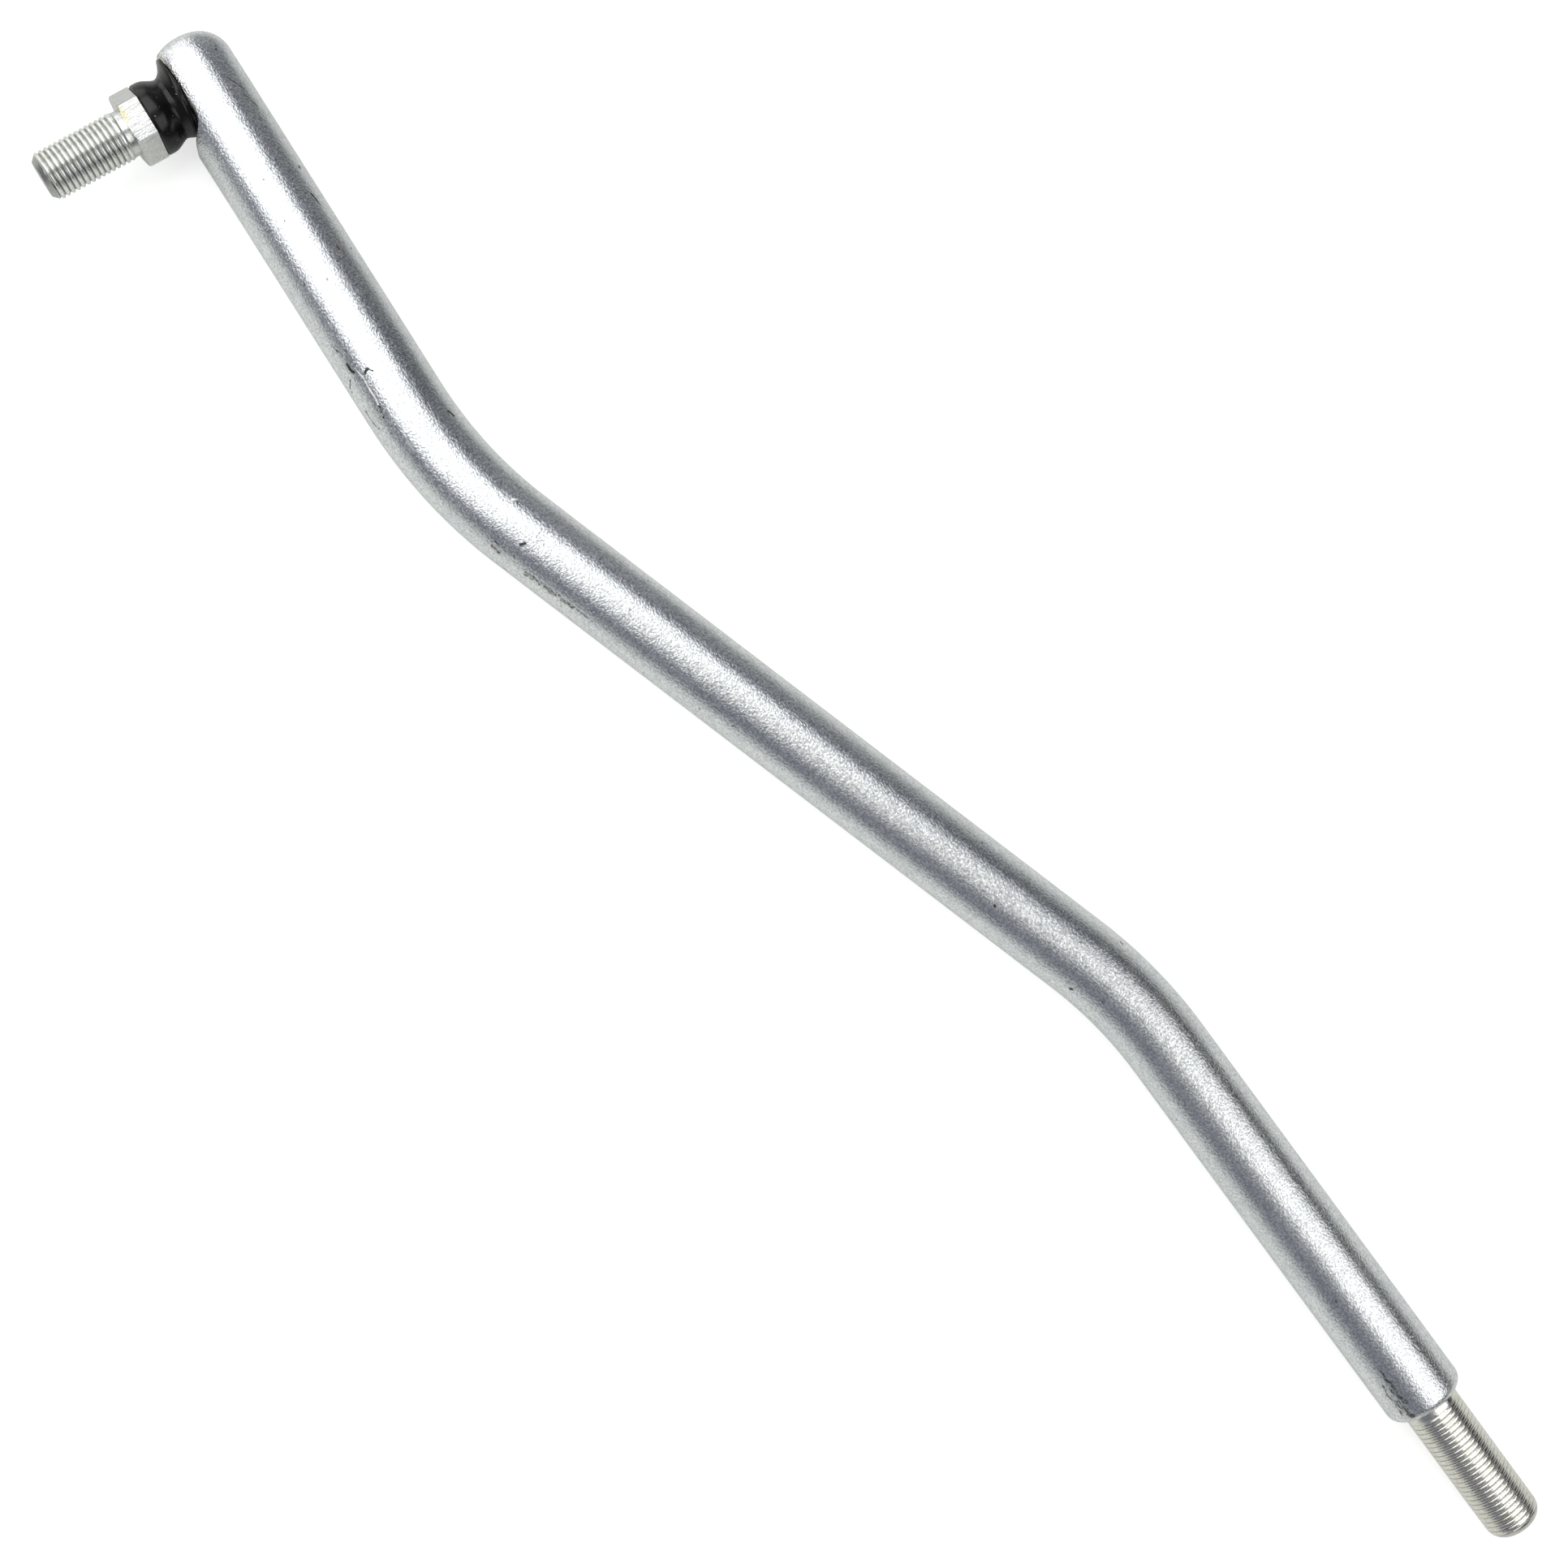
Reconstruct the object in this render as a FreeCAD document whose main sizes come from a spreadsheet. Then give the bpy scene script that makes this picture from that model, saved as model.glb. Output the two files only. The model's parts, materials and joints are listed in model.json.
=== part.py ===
import FreeCAD, Part

import os

import Sketcher

# Drag link: a zinc-plated round bar with two opposite bends, a turned male thread at one end and a
# transverse ball joint with a rubber boot and a threaded stud at the other.
# Frame: origin at the centre of the shoulder of the threaded end, +X out along the thread,
# both bends in the XY plane, +Z up from the surface the link lies on. All sizes in millimetres.

V = FreeCAD.Vector

# Driving dimensions. Legs are measured between the corners where straight centrelines would cross.
# Heights inside the ball joint are measured along the stud from the ball's centre.
SIZES = {
    "bar_diameter": "15.875",
    "thread_leg": "97",
    "middle_leg": "162",
    "ball_leg": "85.7",
    "thread_end_bend": "16.25",
    "ball_end_bend": "20.45",
    "bend_radius": "88.9",
    "shoulder_round": "2.2",
    "end_overhang": "10",
    "end_round": "5.5",
    "rod_thread_diameter": "11.1125",
    "rod_thread_length": "29.95",
    "rod_point_length": "3",
    "rod_point_diameter": "6.4",
    "stud_turn": "10",
    "flat_ratio": "0.309",
    "flat_reach": "4.6",
    "run_out_length": "6.2",
    "cove_radius": "4",
    "socket_cone_rise": "2.1",
    "socket_cone_width": "2.4",
    "ball_ratio": "0.6",
    "ball_clearance": "0.05",
    "running_clearance": "0.05",
    "neck_diameter": "5.5",
    "neck_height": "5",
    "land_diameter": "9.6",
    "land_height": "9.5",
    "hex_across_flats": "12.7",
    "hex_base": "12.45",
    "hex_thickness": "4.2",
    "hex_chamfer_rise": "0.35",
    "hex_roll": "-7.9",
    "shank_diameter": "9",
    "shank_length": "1.2",
    "stud_thread_diameter": "9.525",
    "stud_reach": "18.3",
    "stud_point_length": "1.3",
    "stud_point_diameter": "7",
    "seat_wall": "0.6",
    "seat_floor": "1.1",
    "seat_slot_width": "0.8",
    "seat_slot_depth": "3.6",
    "seat_slots": "4",
    "ring_ratio": "0.188",
    "ring_thickness": "1.1",
    "ring_width": "1.2",
    "boot_spigot_wall": "0.9",
    "boot_lip_step": "1.3",
    "boot_lip_offset": "1.7",
    "boot_lip_thickness": "0.6",
    "lip_clearance": "0.1",
    "boot_waist_height": "7.7",
    "boot_waist_step": "0.55",
    "boot_wall": "0.75",
    "boot_bead_step": "1.05",
    "boot_bead_height": "10",
    "neck_ring_height": "10.4",
    "neck_ring_thickness": "1",
    "neck_ring_width": "0.9",
}

# Sizes and places that follow from the driving dimensions.
PLACES = {
    "bar_radius": "=sizes.bar_diameter / 2",
    "middle_angle": "=sizes.thread_end_bend",
    "ball_angle": "=sizes.thread_end_bend - sizes.ball_end_bend",
    "thread_tangent": "=sizes.bend_radius * tan(sizes.thread_end_bend / 2)",
    "ball_tangent": "=sizes.bend_radius * tan(sizes.ball_end_bend / 2)",
    "ball_corner_x": "=-sizes.thread_leg - sizes.middle_leg * cos(middle_angle)",
    "ball_corner_y": "=-sizes.middle_leg * sin(middle_angle)",
    "ball_x": "=ball_corner_x - sizes.ball_leg * cos(ball_angle)",
    "ball_y": "=ball_corner_y - sizes.ball_leg * sin(ball_angle)",
    "bar_start_x": "=-sizes.shoulder_round",
    "thread_bend_in_x": "=thread_tangent - sizes.thread_leg",
    "thread_bend_out_x": "=-sizes.thread_leg - thread_tangent * cos(middle_angle)",
    "thread_bend_out_y": "=-thread_tangent * sin(middle_angle)",
    "ball_bend_in_x": "=ball_corner_x + ball_tangent * cos(middle_angle)",
    "ball_bend_in_y": "=ball_corner_y + ball_tangent * sin(middle_angle)",
    "ball_bend_out_x": "=ball_corner_x - ball_tangent * cos(ball_angle)",
    "ball_bend_out_y": "=ball_corner_y - ball_tangent * sin(ball_angle)",
    "bar_end_reach": "=sizes.end_overhang - sizes.end_round",
    "bar_end_x": "=ball_x - bar_end_reach * cos(ball_angle)",
    "bar_end_y": "=ball_y - bar_end_reach * sin(ball_angle)",
    "shoulder_radius": "=bar_radius - sizes.shoulder_round",
    "end_face_radius": "=bar_radius - sizes.end_round",
    "rod_thread_radius": "=sizes.rod_thread_diameter / 2",
    "rod_point_x": "=sizes.rod_thread_length - sizes.rod_point_length",
    "rod_point_radius": "=sizes.rod_point_diameter / 2",
    "rod_point_drop": "=rod_thread_radius - rod_point_radius",
    "rod_point_bulge": "=(sizes.rod_point_length ^ 2 + rod_point_drop ^ 2) / (2 * rod_point_drop)",
    "joint_roll": "=180 - sizes.stud_turn",
    "flat_height": "=sizes.bar_diameter * sizes.flat_ratio",
    "run_out_rise": "=bar_radius - flat_height",
    "run_out_end": "=sizes.flat_reach + sizes.run_out_length",
    "run_out_radii": "=(sizes.run_out_length ^ 2 + run_out_rise ^ 2) / (2 * run_out_rise)",
    "crest_radius": "=run_out_radii - sizes.cove_radius",
    "cove_end_x": "=sizes.flat_reach + sizes.run_out_length * sizes.cove_radius / run_out_radii",
    "cove_end_y": "=flat_height + run_out_rise * sizes.cove_radius / run_out_radii",
    "cutter_top": "=bar_radius + sizes.cove_radius",
    "cutter_reach": "=sizes.end_overhang + sizes.cove_radius",
    "ball_radius": "=bar_radius * sizes.ball_ratio",
    "ball_flat_radius": "=ball_radius / 4",
    "ball_flat_depth": "=sqrt(ball_radius ^ 2 - ball_flat_radius ^ 2)",
    "neck_radius": "=sizes.neck_diameter / 2",
    "neck_start": "=sqrt(ball_radius ^ 2 - neck_radius ^ 2)",
    "land_radius": "=sizes.land_diameter / 2",
    "shank_radius": "=sizes.shank_diameter / 2",
    "hex_flat_radius": "=sizes.hex_across_flats / 2",
    "hex_corner_radius": "=hex_flat_radius / cos(30)",
    "hex_face": "=sizes.hex_base + sizes.hex_thickness",
    "hex_middle": "=sizes.hex_base + sizes.hex_thickness / 2",
    "hex_chamfer_base": "=hex_face - sizes.hex_chamfer_rise",
    "hex_chamfer_radius": "=hex_corner_radius - sizes.hex_chamfer_rise * 1.4",
    "hex_cutter_radius": "=hex_corner_radius + sizes.hex_chamfer_rise",
    "hex_cutter_base": "=hex_chamfer_base - sizes.hex_chamfer_rise / 1.4",
    "shank_end": "=hex_face + sizes.shank_length",
    "stud_thread_radius": "=sizes.stud_thread_diameter / 2",
    "stud_thread_start": "=shank_end + stud_thread_radius - shank_radius",
    "stud_tip": "=hex_face + sizes.stud_reach",
    "stud_point_start": "=stud_tip - sizes.stud_point_length",
    "stud_point_radius": "=sizes.stud_point_diameter / 2",
    "cavity_radius": "=ball_radius + sizes.ball_clearance",
    "seat_radius": "=cavity_radius + sizes.seat_wall",
    "seat_bottom": "=cavity_radius + sizes.seat_floor",
    "seat_floor_radius": "=seat_radius - sizes.socket_cone_width",
    "seat_cone_top": "=seat_bottom - sizes.socket_cone_rise",
    "ring_height": "=sizes.bar_diameter * sizes.ring_ratio",
    "seat_top": "=ring_height - 2 * sizes.running_clearance",
    "seat_mouth_radius": "=sqrt(cavity_radius ^ 2 - seat_top ^ 2)",
    "seat_slot_bottom": "=seat_top - sizes.seat_slot_depth",
    "socket_radius": "=seat_radius + sizes.running_clearance",
    "socket_floor": "=seat_bottom + sizes.running_clearance",
    "socket_floor_radius": "=socket_radius - sizes.socket_cone_width",
    "socket_cone_top": "=socket_floor - sizes.socket_cone_rise",
    "ring_top": "=ring_height + sizes.ring_thickness",
    "ring_bore_radius": "=socket_radius - sizes.ring_width",
    "spigot_bore_radius": "=seat_radius - sizes.boot_spigot_wall",
    "waist_radius": "=socket_radius + sizes.boot_waist_step",
    "waist_bore_radius": "=waist_radius - sizes.boot_wall",
    "bead_radius": "=waist_radius + sizes.boot_bead_step",
    "lip_radius": "=waist_radius + sizes.boot_lip_step",
    "lip_top": "=flat_height + sizes.boot_lip_thickness",
    "lip_root_radius": "=waist_radius - sizes.boot_lip_offset",
    "lip_root_height": "=sizes.boot_waist_height - sizes.boot_lip_thickness / 2",
    "trim_start": "=sizes.flat_reach - sizes.lip_clearance",
    "trim_cove_x": "=cove_end_x - sizes.lip_clearance",
    "trim_end": "=run_out_end - sizes.lip_clearance",
    "boot_top": "=sizes.hex_base - sizes.running_clearance",
    "boot_bore_radius": "=land_radius + sizes.running_clearance",
    "boot_bore_start": "=sizes.land_height + sizes.running_clearance",
    "neck_ring_bore_radius": "=land_radius + sizes.running_clearance",
    "neck_ring_radius": "=neck_ring_bore_radius + sizes.neck_ring_width",
    "neck_ring_top": "=sizes.neck_ring_height + sizes.neck_ring_thickness",
    "ring_groove_radius": "=neck_ring_radius + sizes.running_clearance",
    "ring_groove_base": "=sizes.neck_ring_height - sizes.running_clearance",
    "ring_groove_top": "=neck_ring_top + sizes.running_clearance",
}

# The ball joint's own frame: x along the bar towards the bend, y out along the stud, at the ball's centre.
JOINT_FRAME = (
    "placement(vector(places.ball_x; places.ball_y; 0);"
    " rotation(vector(0; 0; 1); places.ball_angle) * rotation(vector(1; 0; 0); places.joint_roll))"
)
# The frame of the bar's ball end: x along the bar towards the bend, in the plane of the bends.
BALL_END_FRAME = (
    "placement(vector(places.ball_x; places.ball_y; 0); rotation(vector(0; 0; 1); places.ball_angle))"
)

doc = FreeCAD.newDocument("drag_link")


def make_sheet(name, cells):
    """A spreadsheet with each value under its alias."""
    sheet = doc.addObject("Spreadsheet::Sheet", name)
    for row, (alias, text) in enumerate(cells.items(), start=1):
        sheet.set(f"A{row}", alias)
        sheet.set(f"B{row}", text)
        sheet.setAlias(f"B{row}", alias)
    doc.recompute()
    return sheet


sizes = make_sheet("sizes", SIZES)
places = make_sheet("places", PLACES)


def cell(name):
    """The expression that reads a cell; a leading minus turns its sign."""
    sign = "-" if name.startswith("-") else ""
    alias = name.lstrip("-")
    sheet = "sizes" if alias in SIZES else "places"
    return f"{sign}{sheet}.{alias}"


def number(name):
    """The number that a cell holds now; a leading minus turns its sign, and zero is no cell."""
    if name == "zero":
        return 0.0
    sign = -1.0 if name.startswith("-") else 1.0
    alias = name.lstrip("-")
    held = (sizes if alias in SIZES else places).get(alias)
    return sign * float(getattr(held, "Value", held))


def new_body(label):
    body = doc.addObject("PartDesign::Body", label)
    body.Label = label
    return body


def new_sketch(body, name, role="XY_Plane", frame=None):
    """A sketch on one of the body's own origin planes, or offset from it to a frame."""
    sketch = body.newObject("Sketcher::SketchObject", name)
    plane = next(f for f in body.Origin.OriginFeatures if f.Role == role)
    sketch.AttachmentSupport = [(plane, "")]
    sketch.MapMode = "FlatFace"
    if frame:
        sketch.setExpression("AttachmentOffset", frame)
    return sketch


def bind(sketch, constraint, name, alias):
    """Add a constraint whose value is read from a cell."""
    index = sketch.addConstraint(constraint)
    sketch.renameConstraint(index, name)
    if alias != "zero":
        sketch.setExpression(f"Constraints.{name}", cell(alias))


def fix_point(sketch, label, geometry, position, corner):
    """Hold a point of the sketch at a pair of cells."""
    x_name, y_name = corner
    across = Sketcher.Constraint("DistanceX", -1, 1, geometry, position, number(x_name))
    bind(sketch, across, f"{label}_across", x_name)
    along = Sketcher.Constraint("DistanceY", -1, 1, geometry, position, number(y_name))
    bind(sketch, along, f"{label}_along", y_name)


def arc_between(start, end, radius, clockwise):
    """The short arc from start to end. Arcs run anticlockwise, so a clockwise one is drawn from its end."""
    first, last = (end, start) if clockwise else (start, end)
    chord = last - first
    middle = (first + last) * 0.5
    rise = (radius ** 2 - (chord.Length / 2) ** 2) ** 0.5
    left = V(-chord.y, chord.x, 0).normalize()
    centre = middle + left * rise
    east = V(1, 0, 0)
    turns = [east.getAngle(p - centre) * (1 if p.y >= centre.y else -1) for p in (first, last)]
    return Part.ArcOfCircle(Part.Circle(centre, V(0, 0, 1), radius), turns[0], turns[1])


def draw(sketch, corners, arcs=None, closed=True):
    """Draw an outline through corners given as pairs of cell names.

    arcs gives, by the number of its first corner, the radius cell of an edge that is round, with True
    where the edge turns clockwise. Every other edge is straight.
    """
    arcs = arcs or {}
    points = [V(number(x), number(y), 0) for x, y in corners]
    count = len(corners) if closed else len(corners) - 1
    ends = []
    for i in range(count):
        start = points[i]
        end = points[(i + 1) % len(points)]
        if i in arcs:
            radius_name, clockwise = arcs[i]
            edge = arc_between(start, end, number(radius_name), clockwise)
            ends.append((2, 1) if clockwise else (1, 2))
        else:
            edge = Part.LineSegment(start, end)
            ends.append((1, 2))
        sketch.addGeometry(edge, False)
    for i in range(count):
        fix_point(sketch, f"corner{i}", i, ends[i][0], corners[i])
        if i in arcs:
            radius_name = arcs[i][0]
            round_edge = Sketcher.Constraint("Radius", i, number(radius_name))
            bind(sketch, round_edge, f"round{i}", radius_name)
    joins = count if closed else count - 1
    for i in range(joins):
        after = (i + 1) % count
        sketch.addConstraint(Sketcher.Constraint("Coincident", i, ends[i][1], after, ends[after][0]))
    if not closed:
        fix_point(sketch, "last_corner", count - 1, ends[-1][1], corners[-1])
    return sketch


def draw_circle(sketch, centre, radius_name):
    circle = Part.Circle(V(number(centre[0]), number(centre[1]), 0), V(0, 0, 1), number(radius_name))
    sketch.addGeometry(circle, False)
    fix_point(sketch, "centre", 0, 3, centre)
    bind(sketch, Sketcher.Constraint("Radius", 0, number(radius_name)), "round", radius_name)
    return sketch


def turned(body, kind, name, sketch, axis):
    """A full turn of a sketch about its own H_Axis or V_Axis, adding or cutting by kind."""
    feature = body.newObject(kind, name)
    feature.Profile = sketch
    feature.ReferenceAxis = (sketch, [axis])
    feature.Angle = 360
    sketch.Visibility = False
    return feature


def ring_body(label, low, high, bore, outside):
    """A plain ring about the stud's axis."""
    body = new_body(label)
    sketch = new_sketch(body, f"{label}_section")
    draw(sketch, [(bore, low), (outside, low), (outside, high), (bore, high)])
    turned(body, "PartDesign::Revolution", f"{label}_turn", sketch, "V_Axis")
    return body


def flat_outline(sketch):
    """The milled flat's cutter: open at the bar's end, with a cove and a crest where it runs out."""
    corners = [
        ("-cutter_reach", "flat_height"),
        ("flat_reach", "flat_height"),
        ("cove_end_x", "cove_end_y"),
        ("run_out_end", "bar_radius"),
        ("run_out_end", "cutter_top"),
        ("-cutter_reach", "cutter_top"),
    ]
    return draw(sketch, corners, arcs={1: ("cove_radius", False), 2: ("crest_radius", True)})


def make_link_rod():
    """One bent bar: turned thread at one end, rounded end with a milled flat and a blind socket at the other."""
    body = new_body("link_rod")

    route = draw(
        new_sketch(body, "bar_route"),
        [
            ("bar_start_x", "zero"),
            ("thread_bend_in_x", "zero"),
            ("thread_bend_out_x", "thread_bend_out_y"),
            ("ball_bend_in_x", "ball_bend_in_y"),
            ("ball_bend_out_x", "ball_bend_out_y"),
            ("bar_end_x", "bar_end_y"),
        ],
        arcs={1: ("bend_radius", False), 3: ("bend_radius", True)},
        closed=False,
    )
    bar_start = "placement(vector(0; 0; places.bar_start_x); rotation(0; 0; 0))"
    section = new_sketch(body, "bar_section", "YZ_Plane", bar_start)
    draw_circle(section, ("zero", "zero"), "bar_radius")
    bar = body.newObject("PartDesign::AdditivePipe", "bent_bar")
    bar.Profile = section
    bar.Spine = route

    thread_end = new_sketch(body, "thread_end_outline")
    draw(
        thread_end,
        [
            ("bar_start_x", "zero"),
            ("bar_start_x", "bar_radius"),
            ("zero", "shoulder_radius"),
            ("zero", "rod_thread_radius"),
            ("rod_point_x", "rod_thread_radius"),
            ("rod_thread_length", "rod_point_radius"),
            ("rod_thread_length", "zero"),
        ],
        arcs={1: ("shoulder_round", True), 4: ("rod_point_bulge", True)},
    )
    turned(body, "PartDesign::Revolution", "turned_thread_end", thread_end, "H_Axis")

    ball_end = new_sketch(body, "ball_end_outline", frame=BALL_END_FRAME)
    draw(
        ball_end,
        [
            ("-bar_end_reach", "zero"),
            ("-end_overhang", "zero"),
            ("-end_overhang", "end_face_radius"),
            ("-bar_end_reach", "bar_radius"),
        ],
        arcs={2: ("end_round", True)},
    )
    turned(body, "PartDesign::Revolution", "rounded_ball_end", ball_end, "H_Axis")

    flat = body.newObject("PartDesign::Pocket", "milled_flat")
    flat.Profile = flat_outline(new_sketch(body, "flat_outline", frame=JOINT_FRAME))
    flat.Midplane = True
    flat.setExpression("Length", "2 * sizes.bar_diameter")

    socket = new_sketch(body, "socket_outline", frame=JOINT_FRAME)
    draw(
        socket,
        [
            ("zero", "-socket_floor"),
            ("socket_floor_radius", "-socket_floor"),
            ("socket_radius", "-socket_cone_top"),
            ("socket_radius", "cutter_top"),
            ("zero", "cutter_top"),
        ],
    )
    turned(body, "PartDesign::Groove", "ball_socket", socket, "V_Axis")
    return body


def make_ball_stud():
    """One forging: ball, neck, boot land, hexagon, plain shank and thread blank with a chamfered point."""
    body = new_body("ball_stud")
    outline = draw(
        new_sketch(body, "stud_outline"),
        [
            ("zero", "-ball_flat_depth"),
            ("ball_flat_radius", "-ball_flat_depth"),
            ("neck_radius", "neck_start"),
            ("neck_radius", "neck_height"),
            ("land_radius", "land_height"),
            ("land_radius", "hex_middle"),
            ("shank_radius", "hex_middle"),
            ("shank_radius", "shank_end"),
            ("stud_thread_radius", "stud_thread_start"),
            ("stud_thread_radius", "stud_point_start"),
            ("stud_point_radius", "stud_tip"),
            ("zero", "stud_tip"),
        ],
        arcs={1: ("ball_radius", False)},
    )
    turned(body, "PartDesign::Revolution", "turned_stud", outline, "V_Axis")

    hexagon = new_sketch(
        body,
        "hexagon_outline",
        "XZ_Plane",
        "placement(vector(0; 0; -places.hex_face); rotation(vector(0; 0; 1); sizes.hex_roll))",
    )
    ring = [V(number("hex_corner_radius"), 0, 0)]
    turn = FreeCAD.Rotation(V(0, 0, 1), 60)
    for _ in range(5):
        ring.append(turn.multVec(ring[-1]))
    for i in range(6):
        hexagon.addGeometry(Part.LineSegment(ring[i], ring[(i + 1) % 6]), False)
    for i in range(6):
        hexagon.addConstraint(Sketcher.Constraint("Coincident", i, 2, (i + 1) % 6, 1))
    rim = hexagon.addGeometry(Part.Circle(V(0, 0, 0), V(0, 0, 1), number("hex_corner_radius")), True)
    hexagon.addConstraint(Sketcher.Constraint("Coincident", rim, 3, -1, 1))
    bind(hexagon, Sketcher.Constraint("Radius", rim, number("hex_corner_radius")), "corners", "hex_corner_radius")
    for i in range(6):
        hexagon.addConstraint(Sketcher.Constraint("PointOnObject", i, 1, rim))
    for i in range(5):
        hexagon.addConstraint(Sketcher.Constraint("Equal", i, i + 1))
    hexagon.addConstraint(Sketcher.Constraint("PointOnObject", 0, 1, -1))
    pad = body.newObject("PartDesign::Pad", "hexagon")
    pad.Profile = hexagon
    pad.setExpression("Length", "sizes.hex_thickness")

    chamfer = draw(
        new_sketch(body, "hexagon_chamfer_outline"),
        [
            ("hex_chamfer_radius", "hex_face"),
            ("hex_cutter_radius", "hex_cutter_base"),
            ("hex_cutter_radius", "hex_face"),
        ],
    )
    turned(body, "PartDesign::Groove", "hexagon_chamfer", chamfer, "V_Axis")
    return body


def make_ball_seat():
    """Slotted plastic race that wraps past the ball's middle."""
    body = new_body("ball_seat")
    outline = draw(
        new_sketch(body, "seat_outline"),
        [
            ("zero", "-seat_bottom"),
            ("seat_floor_radius", "-seat_bottom"),
            ("seat_radius", "-seat_cone_top"),
            ("seat_radius", "seat_top"),
            ("seat_mouth_radius", "seat_top"),
            ("zero", "-cavity_radius"),
        ],
        arcs={4: ("cavity_radius", True)},
    )
    turned(body, "PartDesign::Revolution", "seat_turn", outline, "V_Axis")

    slot_outline = draw(
        new_sketch(body, "slot_outline"),
        [
            ("zero", "seat_slot_bottom"),
            ("socket_radius", "seat_slot_bottom"),
            ("socket_radius", "ring_top"),
            ("zero", "ring_top"),
        ],
    )
    slot = body.newObject("PartDesign::Pocket", "slot")
    slot.Profile = slot_outline
    slot.Midplane = True
    slot.setExpression("Length", "sizes.seat_slot_width")
    slots = body.newObject("PartDesign::PolarPattern", "slots")
    slots.Originals = [slot]
    slots.Axis = (slot_outline, ["V_Axis"])
    slots.Angle = 360
    slots.setExpression("Occurrences", "sizes.seat_slots")
    body.Tip = slots
    return body


def make_dust_boot():
    """Hollow rubber boot: lip on the flat, spigot in the socket's mouth, waist, and a bead at the hexagon."""
    body = new_body("dust_boot")
    outside = draw(
        new_sketch(body, "boot_outside"),
        [
            ("zero", "flat_height"),
            ("waist_radius", "flat_height"),
            ("waist_radius", "boot_waist_height"),
            ("bead_radius", "boot_bead_height"),
            ("bead_radius", "boot_top"),
            ("zero", "boot_top"),
        ],
    )
    turned(body, "PartDesign::Revolution", "boot_turn", outside, "V_Axis")

    lip_frame = "placement(vector(-sizes.boot_lip_offset; 0; 0); rotation(0; 0; 0))"
    lip = draw(
        new_sketch(body, "lip_outline", frame=lip_frame),
        [
            ("zero", "flat_height"),
            ("lip_radius", "flat_height"),
            ("lip_radius", "lip_top"),
            ("lip_root_radius", "lip_root_height"),
            ("zero", "lip_root_height"),
        ],
    )
    turned(body, "PartDesign::Revolution", "boot_lip", lip, "V_Axis")

    trim = body.newObject("PartDesign::Pocket", "lip_trim")
    trim.Profile = draw(
        new_sketch(body, "lip_trim_outline"),
        [
            ("trim_start", "flat_height"),
            ("trim_cove_x", "cove_end_y"),
            ("trim_end", "bar_radius"),
            ("trim_end", "flat_height"),
        ],
        arcs={0: ("cove_radius", False), 1: ("crest_radius", True)},
    )
    trim.Midplane = True
    trim.setExpression("Length", "2 * sizes.bar_diameter")

    spigot = draw(
        new_sketch(body, "spigot_outline"),
        [
            ("zero", "ring_top"),
            ("seat_radius", "ring_top"),
            ("seat_radius", "boot_waist_height"),
            ("zero", "boot_waist_height"),
        ],
    )
    turned(body, "PartDesign::Revolution", "boot_spigot", spigot, "V_Axis")

    inside = draw(
        new_sketch(body, "boot_inside"),
        [
            ("zero", "ring_height"),
            ("spigot_bore_radius", "ring_height"),
            ("spigot_bore_radius", "flat_height"),
            ("waist_bore_radius", "boot_waist_height"),
            ("boot_bore_radius", "boot_bore_start"),
            ("boot_bore_radius", "ring_groove_base"),
            ("ring_groove_radius", "ring_groove_base"),
            ("ring_groove_radius", "ring_groove_top"),
            ("boot_bore_radius", "ring_groove_top"),
            ("boot_bore_radius", "hex_face"),
            ("zero", "hex_face"),
        ],
    )
    turned(body, "PartDesign::Groove", "boot_hollow", inside, "V_Axis")
    return body


link_rod = make_link_rod()
ball_stud = make_ball_stud()
ball_seat = make_ball_seat()
closing_ring = ring_body("closing_ring", "ring_height", "ring_top", "ring_bore_radius", "socket_radius")
neck_ring = ring_body("neck_ring", "neck_ring_height", "neck_ring_top", "neck_ring_bore_radius", "neck_ring_radius")
dust_boot = make_dust_boot()

for piece in (ball_stud, ball_seat, closing_ring, neck_ring, dust_boot):
    piece.setExpression("Placement", JOINT_FRAME)

doc.recompute()

for item in doc.Objects:
    if "Invalid" in item.State or "Error" in item.State:
        raise RuntimeError(f"{item.Label} failed: {item.State}")

for feature in (f for f in doc.Objects if f.TypeId in ("PartDesign::Pocket", "PartDesign::Groove")):
    if feature.Shape.Volume >= feature.BaseFeature.Shape.Volume:
        raise RuntimeError(f"{feature.Label} cuts nothing")

parts = [link_rod, ball_stud, ball_seat, closing_ring, neck_ring, dust_boot]
for piece in parts:
    if piece.Shape.isNull() or not piece.Shape.isValid():
        raise RuntimeError(f"{piece.Label} has no valid shape")

os.makedirs("parts", exist_ok=True)
for piece in parts:
    piece.Shape.exportStep(f"parts/{piece.Label}.step")
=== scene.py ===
import json
import math

import bmesh
import bpy
import numpy as np
from mathutils import Matrix, Vector


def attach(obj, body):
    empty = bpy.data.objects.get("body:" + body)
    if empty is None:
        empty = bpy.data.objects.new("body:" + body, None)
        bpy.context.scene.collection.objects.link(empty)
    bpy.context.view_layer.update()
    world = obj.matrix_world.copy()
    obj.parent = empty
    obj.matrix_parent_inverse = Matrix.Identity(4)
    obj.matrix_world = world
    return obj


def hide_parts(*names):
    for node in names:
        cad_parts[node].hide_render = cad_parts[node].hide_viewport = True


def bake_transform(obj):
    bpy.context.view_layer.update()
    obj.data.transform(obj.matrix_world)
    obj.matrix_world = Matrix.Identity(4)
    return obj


# Drag link: bent zinc-plated bar, threaded at one end, with a ball joint, rubber boot and
# threaded stud at the other. Sizes are in millimetres until a mesh is made; places and
# distances inside the materials are in metres.

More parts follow.
